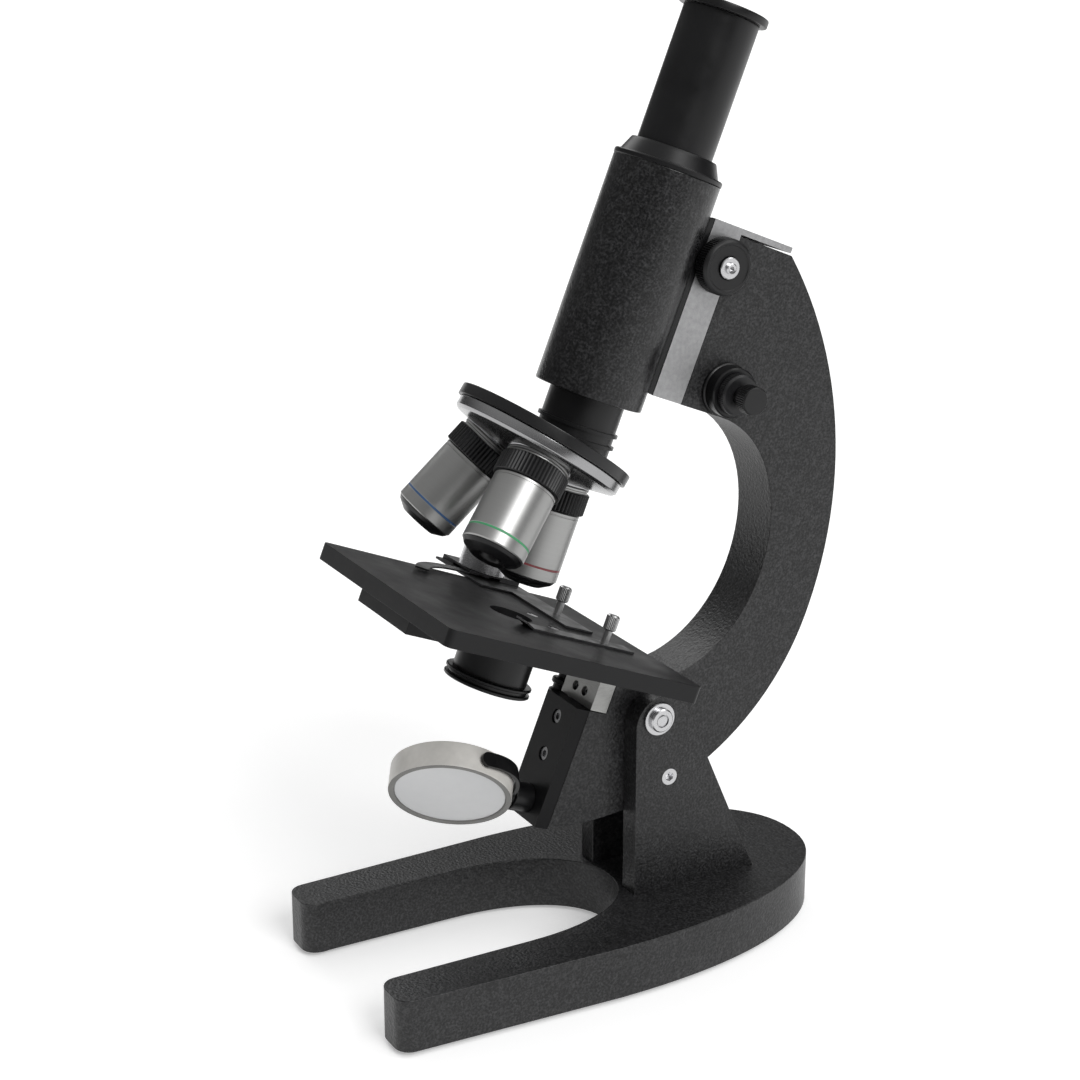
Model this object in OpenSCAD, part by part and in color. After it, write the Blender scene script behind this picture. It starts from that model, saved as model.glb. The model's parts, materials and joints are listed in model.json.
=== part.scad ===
// Mirror-lit laboratory microscope on a horseshoe base.
// Z is up, +X is the object's right side, and the tips of the base point towards -Y.
// The origin is on the desk, at the centre of the heel foot.
// Everything on the leaning arm is drawn in the arm's own frame: its origin is the tilt pivot,
// Z runs along the tube and -Y points forward, out over the stage.

/* [Base] */
// Overall width of the horseshoe
base_w = 106.4; // [96:0.4:128]
// Overall length, from the heel to the tips
base_l = 199.2; // [180:0.2:240]
// Thickness of the casting
base_h = 20.5; // [16:0.5:26]
// Clear width between the two legs
gap_w = 63.4; // [56:0.2:70]
// Length of solid heel behind the gap
heel_l = 85.5; // [80:0.5:92]
// How much each leg's outer side comes in at its tip
tip_taper = 3; // [0:0.5:5]
// Diameter of a rubber foot
foot_d = 13; // [8:0.5:14]
// Height that the feet stand out
foot_h = 2; // [1:0.5:4]
// Distance from the heel's edge to the rear foot's centre
foot_inset = 13.5; // [9:0.5:18]

/* [Pillar] */
// Height of the tilt pivot above the base
pivot_h = 71.1; // [64:0.1:86]
// Distance from the heel's edge to the pivot
pivot_back = 76.5; // [74:0.5:80]
// Thickness of one cheek
cheek_t = 8.75; // [7:0.25:11]
// Cheek in front of the pivot
cheek_front = 9.5; // [8.5:0.1:10.5]
// Radius of the cheek's rounded top
crown_r = 11.6; // [10.5:0.1:13]
// Length of the cheek's foot along the base
cheek_foot = 54; // [48:1:60]
// Radius of the tilt bolt
bolt_r = 4; // [3:0.5:5]
// Radius of the pillar's screws
screw_r = 2.5; // [2:0.5:3]

/* [Arm] */
// Backward lean of the arm
lean = 22.2; // [0:0.1:40]
// Thickness of the arm, side to side
arm_t = 22.4; // [18:0.4:26]
// Top of the arm's head above the pivot
head_top = 177.2; // [172:0.2:182]
// Underside of the arm's head above the pivot
head_bottom = 113.3; // [110:0.1:118]
// Front face of the arm's head, ahead of the pivot
head_front = 32.4; // [31:0.1:34]
// Front face of the arm's tail, ahead of the pivot
tail_front = 24.4; // [23:0.1:27]

/* [Focus] */
// Thickness of the carriage that carries the tube
carriage_t = 13.1; // [12.9:0.1:13.4]
// Height of the coarse pinion above the pivot
pinion_u = 165.1; // [160:0.1:167]
// Tooth module of the rack and pinion
rack_m = 0.6; // [0.5:0.05:0.65]
// Teeth on the pinion
pinion_z = 14; // [12:1:14]
// Radius of a coarse knob
coarse_r = 10.4; // [8:0.1:13]
// Width of a coarse knob
coarse_w = 6.8; // [5:0.1:12]
// Fine spindle ahead of the pivot
fine_f = 16.3; // [12:0.1:20]
// Fine spindle above the pivot
fine_u = 123.5; // [123:0.5:128]
// Radius of the fine knob's grip
fine_r = 5.3; // [4:0.1:7]

/* [Tube] */
// Distance of the optical axis ahead of the pivot
axis_f = 64.5; // [64.5:0.1:67]
// Outer radius of the body tube
tube_r = 20; // [19:0.1:20]
// Wall of the body tube
tube_wall = 2.4; // [1.6:0.1:3.2]
// Bottom of the body tube above the pivot
tube_u0 = 106; // [104:0.5:112]
// Top of the body tube above the pivot
tube_u1 = 190.3; // [184:0.1:200]
// Outer radius of the eyepiece tube
ocular_r = 14; // [13:0.1:15]
// Bore radius of the eyepiece tube
ocular_bore = 11.65; // [11:0.05:12]
// Height of the eyepiece tube's rim above the body tube
ocular_h = 57.2; // [40:0.2:70]
// Outer radius of the lower tube
nose_r = 14; // [13:0.1:15]

/* [Nosepiece] */
// Half angle of the cone that the objectives stand on
cone_a = 13.8; // [12:0.1:16]
// Height of the cone's apex above the pivot
apex_u = 141.3; // [139:0.1:144]
// Turn of the nosepiece about the optical axis
nose_clock = 7.4; // [-20:0.1:20]
// Number of objectives
lens_n = 3; // [3:1:3]
// Radius of the fixed upper disc
plate_r = 34; // [31:0.1:37]
// Radius of the turret's rim
rim_r = 32.7; // [30:0.1:35]
// Radius of an objective's barrel
barrel_r = 11.7; // [10:0.1:12.5]
// Radius of an objective's knurled collar
collar_r = 12.8; // [12:0.1:14]

/* [Stage] */
// Half width of the stage
stage_hw = 52.6; // [46:0.1:60]
// Depth of the stage, front to back
stage_d = 108.2; // [98:0.2:116]
// Top of the stage above the pivot
stage_u = 21.7; // [20:0.1:23]
// Thickness of the stage plate
stage_t = 6.4; // [5:0.1:8]
// Rear edge of the stage, ahead of the pivot
stage_back = 10.8; // [10:0.1:14]
// Radius of the hole in the stage
stage_hole_r = 8.2; // [6:0.1:12]
// Half width of the rib under the stage
rib_hw = 19.5; // [17:0.5:24]
// Depth of the rib under the stage
rib_t = 5.7; // [4:0.1:5.9]
// Radius of the condenser tube
cond_r = 14.1; // [12:0.1:15]
// Length of the condenser tube below the rib
cond_l = 15.7; // [12:0.1:18]

/* [Mirror] */
// Radius of the mirror's housing
mirror_r = 22.8; // [18:0.1:24]
// Thickness of the mirror's housing
mirror_t = 10.2; // [8:0.1:12]
// Mirror's centre below the pivot
mirror_drop = 45.2; // [42:0.1:47]
// Turn of the fork about its stem
fork_turn = 42.3; // [0:0.1:60]
// Tip of the mirror in its fork
mirror_tip = 11.3; // [0:0.1:30]

/* [Hidden] */
$fn = 64;

fit = 0.05;             // radial clearance of a shaft or screw in its hole
slide_gap = 0.12;       // clearance each side in a dovetail
eps = 0.01;

// ---- places that several pieces share ----
heel_y = foot_inset;                        // rear edge of the base
tip_y = heel_y - base_l;
pivot_y = heel_y - pivot_back;
base_top = foot_h + base_h;
foot_tip = 8.2;                             // front feet behind the legs' tips
pivot_z = base_top + pivot_h;
cheek_in = arm_t / 2 + 0.15;                // inner face of a cheek
cheek_mid = cheek_in + cheek_t / 2;
cheek_y0 = pivot_y - cheek_front;
cheek_screw_ys = [cheek_y0 + 10.5, cheek_y0 + cheek_foot - 12];
screw_head_h = 5;
screw_bite = 13;                            // thread length in the pillar
lock_dy = 5.5;                              // lock screw behind the pivot
lock_dz = 25.1;                             // and below it
lock_r = 3.3;
washer_t = 1.2;

carriage_f0 = head_front + 0.1;
carriage_f1 = head_front + carriage_t;
carriage_u0 = head_bottom + 0.1;
cover_t = 2.2;
cover_gap = 0.7;                            // room under the carriage's cover for the fine travel
carriage_u1 = head_top + cover_gap + cover_t;
rail_h = 3.9;                               // dovetail depth
rail_u0 = head_bottom + 2;
rail_u1 = head_bottom + 38;
slide_f0 = carriage_f1 - 4.4;               // back of the tube's dovetail
pitch_r = rack_m * pinion_z / 2;
rack_root_f = axis_f - tube_r - 1.6;        // root line of the rack
pinion_f = rack_root_f - rack_m - pitch_r;
pinion_hw = 2.8;
shaft_r = 3;
knob_in = arm_t / 2 + 0.8;                  // inner face of a coarse knob
knob_bore = 2.4;

cap_t = 2;
collar_h = 7.6;
ocular_top = tube_u1 + ocular_h;
eye_h = 3.1;

plate_d = 53.2;                             // top of the upper disc, down the turret's axis
plate_t = 4.1;
rim_d = 57.5;
rim_t = 3.7;
seat_s = 67.6;                              // an objective's seat, down its own axis
thread_r = 10.1;
collar_s = [69.5, 77.6];                    // top and bottom of the knurled collar
nose_s = 103.7;                             // where the barrel ends

stage_front = stage_back + stage_d;
rib_front = stage_front - 3.4;
rib_u = stage_u - stage_t;                  // top of the rib
rib_bot = rib_u - rib_t;
bracket_f0 = 16.9;
bracket_t = 7.3;
bracket_u0 = -4.6;
bracket_bolts_x = [-3.3, 3.3];
bracket_bolt_u = 0.4;
pin_x = 17.5;                               // studs that hold the clip and the slide holder
pin_f = 33.3;
pin_r = 1.5;
stage_screw_x = 8;
stage_screw_f = 50;
spring_t = 0.7;                             // sheet of the clip and of the holder's finger
plate_u = stage_u + 0.05;                   // underside of what lies on the stage
holder_t = 0.9;
holder_f = 56;                              // front edge of the slide holder's end stop
holder_knob = [-59.6, 45];
finger_c = [-27, 56];                       // the finger curves about this point
finger_r = 29.4;
finger_w = 5.4;
thumb_x = -15.8;
thumb_f = 21.2;
thumb_r = 4.5;

bar_t = 5.7;
bar_hw = 11;
bar_u0 = -52.6;
bar_u1 = -5;
bar_bolt_us = [-12, -27];
stem_f1 = axis_f - mirror_r - 3.2;

// ---- outlines and small shapes ----
function arc(c, r, a0, a1, n) = [for (i = [0:n]) c + r * [cos(a0 + (a1 - a0) * i / n),
    sin(a0 + (a1 - a0) * i / n)]];
function egg(c, a, b, k, a0, a1, n) = [for (i = [0:n]) let (t = a0 + (a1 - a0) * i / n)
    c + [a * sign(cos(t)) * pow(abs(cos(t)), 2 / k), b * sign(sin(t)) * pow(abs(sin(t)), 2 / k)]];

// Outline of the horseshoe, seen from above.
function horseshoe() = let (r = 6, xo = base_w / 2 - tip_taper, xi = gap_w / 2,
        side_y = heel_y - heel_l - 25, gap_y = heel_y - heel_l - 53)
    concat(arc([xi + r, tip_y + r], r, 180, 270, 6), arc([xo - r, tip_y + r], r, 270, 360, 6),
        egg([0, side_y], base_w / 2, heel_y - side_y, 2.2, 0, 180, 48),
        arc([-xo + r, tip_y + r], r, 180, 270, 6), arc([-xi - r, tip_y + r], r, 270, 360, 6),
        egg([0, gap_y], xi, 53, 2.2, 180, 0, 32));

// Side view of a cheek about the pivot: a round crown and a straight sloping back.
function cheek_outline() = let (c = [crown_r - cheek_front, 8.6 - crown_r],
        foot = [cheek_foot - cheek_front, -pivot_h], d = foot - c,
        tangent = atan2(d.y, d.x) + acos(crown_r / norm(d)))
    concat([foot, [-cheek_front, -pivot_h]], arc(c, crown_r, 180, tangent, 24));

// Side view of the arm, [forward, up] from the pivot: two arcs down the back, an elliptical throat.
function arm_outline() = let (back_r = 157, tail_r = 104.4, mid_u = 50, back_f = -57,
        top_a = asin((head_top - mid_u) / back_r),
        tail_a = acos((tail_front - back_f - tail_r) / tail_r))
    concat(arc([back_f + tail_r, mid_u], tail_r, 360 - tail_a, 180, 30),
        arc([back_f + back_r, mid_u], back_r, 180 - 1.5, 180 - top_a, 24),
        [[head_front, head_top], [head_front, head_bottom]],
        egg([13.2, 60], 42, head_bottom - 60, 2, 90, 180, 20),
        egg([13.2, 60], 42, 50.5, 2, 183, 270, 20),
        [[bracket_f0 - 0.1, rib_bot - 0.1], [bracket_f0 - 0.1, bar_u1 + 0.2], [tail_front, bar_u1 + 0.2]]);

module lean_frame() { translate([0, pivot_y, pivot_z]) rotate([-lean, 0, 0]) children(); }

// Plate of width w centred on x = 0, from an outline given as [forward, up].
module side_plate(outline, w) {
    rotate([90, 0, 90]) translate([0, 0, -w / 2]) linear_extrude(w)
        polygon([for (p = outline) [-p.x, p.y]]);
}

// Box given by its x, forward and up spans.
module block(xs, fs, us) {
    translate([xs[0], -fs[1], us[0]]) cube([xs[1] - xs[0], fs[1] - fs[0], us[1] - us[0]]);
}

module xrod(r, x0, x1) { translate([x0, 0, 0]) rotate([0, 90, 0]) cylinder(r = r, h = x1 - x0); }
module frod(r, f0, f1) { translate([0, -f0, 0]) rotate([90, 0, 0]) cylinder(r = r, h = f1 - f0); }
module at(x, f, u) { translate([x, -f, u]) children(); }
module tube(ro, ri, u0, u1) {
    translate([0, 0, u0]) difference() {
        cylinder(r = ro, h = u1 - u0);
        translate([0, 0, -1]) cylinder(r = ri, h = u1 - u0 + 2);
    }
}
module on_axis() { translate([0, -axis_f, 0]) children(); }

// Dovetail along the tube: narrow half width a at the mouth, wide half width b at depth.
module dovetail(a, b, f_mouth, f_deep, u0, u1) {
    translate([0, 0, u0]) linear_extrude(u1 - u0)
        polygon([[-a, -f_mouth], [a, -f_mouth], [b, -f_deep], [-b, -f_deep]]);
}

// Pinion tooth flanks follow the involute of a 20 degree pressure angle.
function inv_a(r, rb) = r <= rb ? 0 : (sqrt(r * r / (rb * rb) - 1) * 180 / PI - acos(rb / r));
module pinion_2d(m, z, thin) {
    rp = m * z / 2;
    rb = rp * cos(20);
    ra = rp + 0.75 * m;
    rr = rp - 0.95 * m;
    half = 90 / z - thin / rp * 90 / PI + inv_a(rp, rb);
    rs = [rr, rb, (rb + rp) / 2 + 0.05, rp, (rp + ra) / 2, ra];
    polygon([for (i = [0:z - 1]) let (a = 360 * i / z) each concat(
        [for (r = rs) let (t = a - half + inv_a(r, rb)) r * [cos(t), sin(t)]],
        [for (k = [len(rs) - 1:-1:0]) let (r = rs[k], t = a + half - inv_a(r, rb)) r * [cos(t), sin(t)]])]);
}

// Frame of the nosepiece: origin at the cone's apex, Z up its own tilted axis.
module nose_frame() {
    translate([0, -axis_f, apex_u]) rotate([0, 0, nose_clock]) rotate([-cone_a, 0, 0]) children();
}
// Frame of objective i: Z up the objective's own axis, from the same apex.
module lens_frame(i) { nose_frame() rotate([0, 0, -360 / lens_n * i]) rotate([cone_a, 0, 0]) children(); }

// Frame of the mirror: centre of the housing, X along its tilt axis, Z out of the back of the glass.
module fork_frame() { translate([0, -axis_f, -mirror_drop]) rotate([0, -fork_turn, 0]) children(); }
module mirror_frame() { fork_frame() rotate([-mirror_tip, 0, 0]) children(); }
module knob_edge(r, x0, x1, c) {
    xrod(r, x0 + c, x1 - c);
    translate([x0, 0, 0]) rotate([0, 90, 0]) cylinder(r1 = r - c, r2 = r, h = c);
    translate([x1 - c, 0, 0]) rotate([0, 90, 0]) cylinder(r1 = r, r2 = r - c, h = c);
}

// ---- base and pillar ----
module base() {
    color([0.16, 0.16, 0.17]) difference() {
        translate([0, 0, foot_h]) linear_extrude(base_h) polygon(horseshoe());
        for (x = [-cheek_mid, cheek_mid], y = cheek_screw_ys) translate([x, y, 0]) {
            cylinder(r = screw_r + fit, h = base_top + 1);
            cylinder(r = screw_r * 1.8 + 0.2, h = foot_h + screw_head_h + 0.5);
        }
        for (p = foot_places()) translate([p.x, p.y, foot_h - 1]) cylinder(r = foot_d / 2 + fit, h = 3);
    }
}
function foot_places() = let (x = (base_w / 2 - tip_taper + gap_w / 2) / 2)
    [[0, 0], [x, tip_y + foot_tip], [-x, tip_y + foot_tip]];
module rubber_feet() {
    color([0.08, 0.08, 0.08]) for (p = foot_places()) translate([p.x, p.y, 0])
        cylinder(r = foot_d / 2, h = foot_h + 2);
}

module cheek(side) {
    difference() {
        translate([side * cheek_mid, pivot_y, pivot_z]) rotate([90, 0, 90])
            translate([0, 0, -cheek_t / 2]) linear_extrude(cheek_t) polygon(cheek_outline());
        translate([0, pivot_y, pivot_z]) xrod(bolt_r + fit, -40, 40);
        for (y = cheek_screw_ys) translate([side * cheek_mid, y, base_top - 1])
            cylinder(r = screw_r + fit, h = screw_bite + 1.5);
    }
}
module pillar_left() { color([0.17, 0.17, 0.18]) cheek(-1); }
module pillar_right() {
    color([0.17, 0.17, 0.18]) difference() {
        cheek(1);
        translate([0, pivot_y + lock_dy, pivot_z - lock_dz]) xrod(lock_r + fit, cheek_in - 1, 40);
    }
}
module pillar_screws() {
    color([0.5, 0.5, 0.52]) for (x = [-cheek_mid, cheek_mid], y = cheek_screw_ys) translate([x, y, 0])
        difference() {
            union() {
                translate([0, 0, foot_h + 0.5]) cylinder(r = screw_r, h = base_h + screw_bite);
                translate([0, 0, foot_h + 0.5]) cylinder(r = screw_r * 1.7, h = screw_head_h);
            }
            translate([0, 0, foot_h]) cylinder(r = screw_r * 0.9, h = 3, $fn = 6);
        }
}
module tilt_bolt() {
    x1 = cheek_in + cheek_t + washer_t;
    color([0.6, 0.6, 0.62]) translate([0, pivot_y, pivot_z]) {
        xrod(bolt_r, -x1 - 5.6, x1);
        difference() {
            knob_edge(bolt_r + 0.6, x1, x1 + 2, 0.5);
            translate([x1 + 1.2, -6, -0.6]) cube([2, 12, 1.2]);
        }
    }
}
module tilt_washers() {
    x1 = cheek_in + cheek_t;
    color([0.55, 0.55, 0.57]) translate([0, pivot_y, pivot_z]) for (x = [-x1 - washer_t, x1])
        difference() {
            xrod(6.4, x, x + washer_t);
            xrod(bolt_r + fit, x - 1, x + washer_t + 1);
        }
}
module tilt_nut() {
    x1 = cheek_in + cheek_t + washer_t;
    color([0.55, 0.55, 0.57]) translate([0, pivot_y, pivot_z]) difference() {
        translate([-x1 - 5, 0, 0]) rotate([0, 90, 0]) cylinder(r = bolt_r * 1.85, h = 5, $fn = 6);
        xrod(bolt_r + fit, -x1 - 6, -x1 + 1);
    }
}
module tilt_lock_screw() {
    x0 = cheek_in + 0.1;
    color([0.5, 0.5, 0.52]) translate([0, pivot_y + lock_dy, pivot_z - lock_dz]) difference() {
        xrod(lock_r, x0, x0 + cheek_t - 0.3);
        translate([x0 + cheek_t - 3.3, 0, 0]) rotate([0, 90, 0]) cylinder(r = 1.75, h = 4, $fn = 6);
    }
}

// ---- arm ----
module arm() {
    color([0.18, 0.18, 0.19]) lean_frame() difference() {
        union() {
            side_plate(arm_outline(), arm_t);
            dovetail(5, 6.5, head_front - 1, head_front + rail_h, rail_u0, rail_u1);
        }
        xrod(bolt_r + fit, -40, 40);
        at(0, fine_f, fine_u) xrod(3 + fit, -40, 40);
        for (x = bracket_bolts_x) at(x, 0, bracket_bolt_u) frod(1.5 + fit, bracket_f0 - 10, bracket_f0 + 5);
        for (u = bar_bolt_us) at(0, 0, u) frod(1.5 + fit, tail_front - 11, tail_front + 5);
    }
}

// ---- fine focus ----
module carriage() {
    hw = arm_t / 2;
    color([0.72, 0.73, 0.75]) lean_frame() difference() {
        union() {
            block([-hw, hw], [carriage_f0, carriage_f1], [carriage_u0, carriage_u1]);
            block([-hw, hw], [8.9, carriage_f1], [carriage_u1 - cover_t, carriage_u1]);
        }
        dovetail(5 + slide_gap, 6.5 + slide_gap, head_front - 1, head_front + rail_h + slide_gap,
            carriage_u0 - 1, rail_u1 + 2.5);
        dovetail(8.5, 9.7, carriage_f1 + eps, slide_f0 - slide_gap, carriage_u0 - 1, carriage_u1 + 1);
        at(0, pinion_f, pinion_u) {
            xrod(shaft_r + fit, -40, 40);
            xrod(pitch_r + rack_m + 0.15, -pinion_hw - 0.2, pinion_hw + 0.2);
        }
    }
}
module fine_bush() {
    x0 = arm_t / 2;
    color([0.12, 0.12, 0.12]) lean_frame() at(0, fine_f, fine_u) difference() {
        union() {
            xrod(10, x0, x0 + 1.5);
            xrod(9.4, x0, x0 + 7);
        }
        xrod(3 + fit, x0 - 1, x0 + 10);
    }
}
module fine_spindle() {
    color([0.6, 0.6, 0.62]) lean_frame() at(0, fine_f, fine_u) {
        xrod(3, -arm_t / 2 - 1.5, arm_t / 2 + 7.1);
        xrod(2, arm_t / 2, arm_t / 2 + 18);
        xrod(4.5, -arm_t / 2 - 3, -arm_t / 2 - 0.3);
    }
}
module fine_drum() {
    x0 = arm_t / 2 + 7.2;
    color([0.22, 0.22, 0.23]) lean_frame() at(0, fine_f, fine_u) difference() {
        knob_edge(7.8, x0, x0 + 4, 0.5);
        xrod(2 + fit, x0 - 1, x0 + 5);
    }
}
module fine_knob() {
    x0 = arm_t / 2 + 11.3;
    color([0.12, 0.12, 0.12]) lean_frame() at(0, fine_f, fine_u) difference() {
        union() {
            xrod(3.6, x0, x0 + 4);
            knob_edge(fine_r, x0 + 3.3, x0 + 9.2, 0.4);
        }
        xrod(2 + fit, x0 - 1, x0 + 7);
    }
}

// ---- coarse focus ----
module pinion_shaft() {
    color([0.62, 0.62, 0.64]) lean_frame() at(0, pinion_f, pinion_u) difference() {
        union() {
            xrod(shaft_r, -knob_in + 0.2, knob_in - 0.2);
            xrod(knob_bore, -knob_in - coarse_w + 1, knob_in + coarse_w - 1);
            rotate([90, 0, 90]) translate([0, 0, -pinion_hw]) linear_extrude(2 * pinion_hw)
                rotate(180) pinion_2d(rack_m, pinion_z, 0.06);
        }
        for (s = [-1, 1]) xrod(1.2 + fit, s * (knob_in + coarse_w) - 7, s * (knob_in + coarse_w) + 7);
    }
}
module coarse_knob(s) {
    color([0.12, 0.12, 0.12]) lean_frame() at(0, pinion_f, pinion_u) mirror([s < 0 ? 1 : 0, 0, 0])
        difference() {
            knob_edge(coarse_r, knob_in, knob_in + coarse_w, 0.6);
            xrod(knob_bore + fit, knob_in - 1, knob_in + coarse_w + 1);
        }
}
module coarse_knob_left() { coarse_knob(-1); }
module coarse_knob_right() { coarse_knob(1); }
module coarse_knob_screws() {
    color([0.7, 0.7, 0.72]) lean_frame() at(0, pinion_f, pinion_u) for (s = [0, 1]) mirror([s, 0, 0]) {
        x1 = knob_in + coarse_w;
        xrod(1.2, x1 - 6, x1 + 0.5);
        knob_edge(4, x1 + 0.02, x1 + 1, 0.2);
        knob_edge(2.1, x1 + 0.9, x1 + 2, 0.4);
    }
}
module tube_slide() {
    hw = arm_t / 2;
    color([0.1, 0.1, 0.1]) lean_frame() difference() {
        union() {
            dovetail(8.4, 9.6, carriage_f1 + 0.2, slide_f0, carriage_u0 + 0.2, carriage_u1 - 0.2);
            block([-hw, hw], [carriage_f1 + 0.2, carriage_f1 + 5.8],
                [carriage_u0 + 0.2, carriage_u1 - 0.2]);
        }
        on_axis() translate([0, 0, carriage_u0 - 1])
            cylinder(r = tube_r, h = carriage_u1 - carriage_u0 + 2);
        block([-3.05, 3.05], [slide_f0 - 1, rack_root_f + 0.75], [carriage_u0 - 1, carriage_u1 + 1]);
    }
}
module rack() {
    p = PI * rack_m;
    ha = 0.75 * rack_m;
    hd = rack_m;
    pitch_f = rack_root_f - hd;
    t = p / 4 - 0.03;
    k = tan(20);
    n = floor((carriage_u1 - carriage_u0 - 8) / p);
    low = pinion_u - round((pinion_u - carriage_u0 - 4) / p) * p;    // a gap faces the pinion
    color([0.6, 0.6, 0.62]) lean_frame() rotate([90, 0, 90]) translate([0, 0, -3]) linear_extrude(6)
        polygon(concat([[-rack_root_f - 0.7, low + n * p], [-rack_root_f - 0.7, low], [-rack_root_f, low]],
            [for (i = [0:n - 1]) let (u = low + (i + 0.5) * p) each [
                [-rack_root_f, u - t - hd * k], [-pitch_f + ha, u - t + ha * k],
                [-pitch_f + ha, u + t - ha * k], [-rack_root_f, u + t + hd * k]]],
            [[-rack_root_f, low + n * p]]));
}

// ---- tube and eyepiece ----
module body_tube() {
    color([0.17, 0.17, 0.18]) lean_frame() on_axis() difference() {
        translate([0, 0, tube_u0]) cylinder(r = tube_r, h = tube_u1 - tube_u0);
        translate([0, 0, tube_u0 + 3]) cylinder(r = tube_r - tube_wall, h = tube_u1 - tube_u0);
        translate([0, 0, tube_u0 - 1]) cylinder(r = nose_r - 2 + fit, h = 6);
    }
}
module tube_cap() {
    color([0.1, 0.1, 0.1]) lean_frame() on_axis() translate([0, 0, tube_u1]) difference() {
        union() {
            translate([0, 0, -6]) cylinder(r = tube_r - tube_wall - fit, h = 7);
            cylinder(r = tube_r + 0.2, h = cap_t);
            translate([0, 0, cap_t])
                cylinder(r1 = tube_r - 1.6, r2 = ocular_r + 2.2, h = collar_h - cap_t - 0.8);
            translate([0, 0, cap_t]) cylinder(r = ocular_r + 1.9, h = collar_h - cap_t);
        }
        translate([0, 0, -7]) cylinder(r = ocular_r + fit, h = 20);
    }
}
module eyepiece_tube() {
    color([0.1, 0.1, 0.1]) lean_frame() on_axis() tube(ocular_r, ocular_bore, tube_u1 - 22, ocular_top);
}
module eyepiece_barrel() {
    color([0.5, 0.5, 0.52]) lean_frame() on_axis()
        tube(ocular_bore - fit, ocular_bore - 1.4, ocular_top - 34, ocular_top);
}
module eyepiece_cap() {
    color([0.1, 0.1, 0.1]) lean_frame() on_axis() translate([0, 0, ocular_top]) difference() {
        cylinder(r = ocular_r + 2.5, h = eye_h);
        translate([0, 0, -1]) cylinder(r = ocular_bore - 2.6, h = 3);
        translate([0, 0, 1.9]) cylinder(r1 = 5, r2 = 13.3, h = 2.4);
    }
}
module eye_lens() {
    color([0.8, 0.9, 1, 0.4]) lean_frame() on_axis() translate([0, 0, ocular_top])
        cylinder(r = ocular_bore - 2.6 - fit, h = 1.9);
}
module field_lens() {
    color([0.8, 0.9, 1, 0.4]) lean_frame() on_axis() translate([0, 0, ocular_top - 33])
        cylinder(r = ocular_bore - 1.4 - fit, h = 3.5);
}
module field_stop() {
    color([0.05, 0.05, 0.05]) lean_frame() on_axis()
        tube(ocular_bore - 1.4 - fit, 7.5, ocular_top - 18, ocular_top - 16.8);
}
module nose_tube() {
    color([0.1, 0.1, 0.1]) lean_frame() difference() {
        on_axis() {
            translate([0, 0, 78]) cylinder(r = nose_r, h = tube_u0 - 78);
            translate([0, 0, tube_u0 - 1]) cylinder(r = nose_r - 2, h = 3.9);
            for (u = [94.3, 89.9]) translate([0, 0, u]) cylinder(r = nose_r + 1.1, h = 1.2);
        }
        on_axis() translate([0, 0, 70]) cylinder(r = 11, h = 50);
        nose_frame() translate([0, 0, -plate_d - 40]) cylinder(r = 60, h = 40);
    }
}

// ---- nosepiece ----
module nosepiece_plate() {
    color([0.1, 0.1, 0.1]) lean_frame() difference() {
        union() {
            nose_frame() translate([0, 0, -plate_d - plate_t]) cylinder(r = plate_r, h = plate_t);
            difference() {
                on_axis() translate([0, 0, 80]) cylinder(r = 11 - fit, h = 13);
                nose_frame() translate([0, 0, -plate_d - 42]) cylinder(r = 60, h = 40);
            }
        }
        on_axis() translate([0, 0, 70]) cylinder(r = 9, h = 50);
        nose_frame() translate([0, 0, -plate_d - 10]) cylinder(r = 3 + fit, h = 20);
    }
}
module turret() {
    top = rim_d;
    low = rim_d + rim_t;
    color([0.75, 0.75, 0.77]) lean_frame() difference() {
        union() {
            nose_frame() rotate_extrude() polygon([[3 + fit, -top], [rim_r, -top], [rim_r, -low],
                [rim_r - 0.9, -low - 0.9], [5.5, -low - 7.3], [3 + fit, -low - 7.3]]);
            for (i = [0:lens_n - 1]) lens_frame(i) translate([0, 0, -seat_s - 1]) cylinder(r = 12, h = 5);
        }
        for (i = [0:lens_n - 1]) lens_frame(i) {
            translate([0, 0, -seat_s - 10]) cylinder(r = collar_r + 0.6, h = 10);
            translate([0, 0, -seat_s - 1]) cylinder(r = thread_r + fit, h = 6);
            translate([0, 0, -seat_s - 1]) cylinder(r = 9, h = 20);
        }
        nose_frame() translate([0, 0, -top - 20]) cylinder(r = 3 + fit, h = 30);
    }
}
module turret_screw() {
    bottom = -rim_d - rim_t - 7.35;
    color([0.6, 0.6, 0.62]) lean_frame() nose_frame() difference() {
        union() {
            translate([0, 0, bottom - 1]) cylinder(r = 3, h = -plate_d - bottom + 1);
            translate([0, 0, bottom - 2]) cylinder(r = 4, h = 1.95);
        }
        translate([-6, -0.6, bottom - 3]) cube([12, 1.2, 2]);
    }
}

// Objective pieces in the objective's own frame; the barrel's thread enters the turret.
module barrel_shape() {
    difference() {
        union() {
            translate([0, 0, -seat_s - 1]) cylinder(r = thread_r, h = 5.5);
            translate([0, 0, -collar_s[0]]) cylinder(r = 11.9, h = collar_s[0] - seat_s - eps);
            translate([0, 0, -nose_s]) cylinder(r = 10.4, h = nose_s - collar_s[0] + eps);
            translate([0, 0, -nose_s]) cylinder(r = barrel_r, h = nose_s - collar_s[1] - 0.1);
        }
        translate([0, 0, -nose_s + 1.5]) cylinder(r = 8.6, h = 60);
        translate([0, 0, -nose_s - 1]) cylinder(r = 6.5 + fit, h = 10);
    }
}
module collar_shape() {
    translate([0, 0, -collar_s[1]]) difference() {
        cylinder(r = collar_r, h = collar_s[1] - collar_s[0] - 0.05);
        translate([0, 0, -1]) cylinder(r = 10.4 + fit, h = 20);
    }
}
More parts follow.
